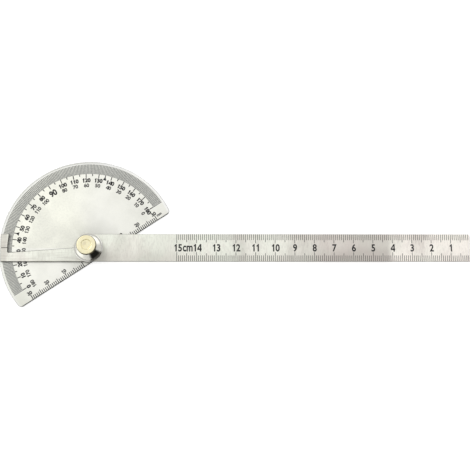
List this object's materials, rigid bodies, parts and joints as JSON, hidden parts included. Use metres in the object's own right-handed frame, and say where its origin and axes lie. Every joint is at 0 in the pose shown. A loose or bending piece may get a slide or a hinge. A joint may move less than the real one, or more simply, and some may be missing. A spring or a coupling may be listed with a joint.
{
  "type": "protractor",
  "caption": "Half-round steel protractor whose ruler arm, with pointer and index tab, swings on a centre stud and is clamped by a knurled thumb nut.",
  "frame": {"origin": "on the pivot axis, at the back face of the head, which the instrument lies on", "axes": "+X along the arm to the zero end of its ruler, +Y across the arm towards the half-round edge of the head at rest, +Z along the pivot, out of the graduated faces"},
  "size_m": [0.2395, 0.0747, 0.012],
  "materials": {
    "head_steel": "satin stainless sheet with filled black graduations",
    "arm_steel": "satin stainless sheet with filled black graduations",
    "stud_brass": "turned",
    "spacer_steel": "plain sheet",
    "spring_steel": "spring strip",
    "washer_nickel": "nickel plate",
    "nut_brass": "turned brass top, nickel-plated knurl and bell"
  },
  "bodies": {
    "head": {"protractor_head": "head_steel", "pivot_stud": "stud_brass", "spacer_washer": "spacer_steel"},
    "arm": {"ruler_arm": "arm_steel", "wave_washer": "spring_steel"},
    "washer": {"clamp_washer": "washer_nickel"},
    "nut": {"thumb_nut": "nut_brass"}
  },
  "joints": [
    {"name": "arm_swing", "type": "hinge", "parent": "head", "child": "arm", "pos_m": [0, 0, 0.0018], "axis": [0, 0, 1], "continuous": true},
    {"name": "washer_lift", "type": "slide", "parent": "head", "child": "washer", "axis": [0, 0, 1], "range_m": [0, 0.0012], "deforming": ["wave_washer"]},
    {"name": "nut_turn", "type": "hinge", "parent": "washer", "child": "nut", "pos_m": [0, 0, 0.0078], "axis": [0, 0, 1], "range_deg": [0, 540]}
  ],
  "couplings": [
    {"joint": "nut_turn", "follows": "washer_lift", "rad_per_m": 7854}
  ]
}
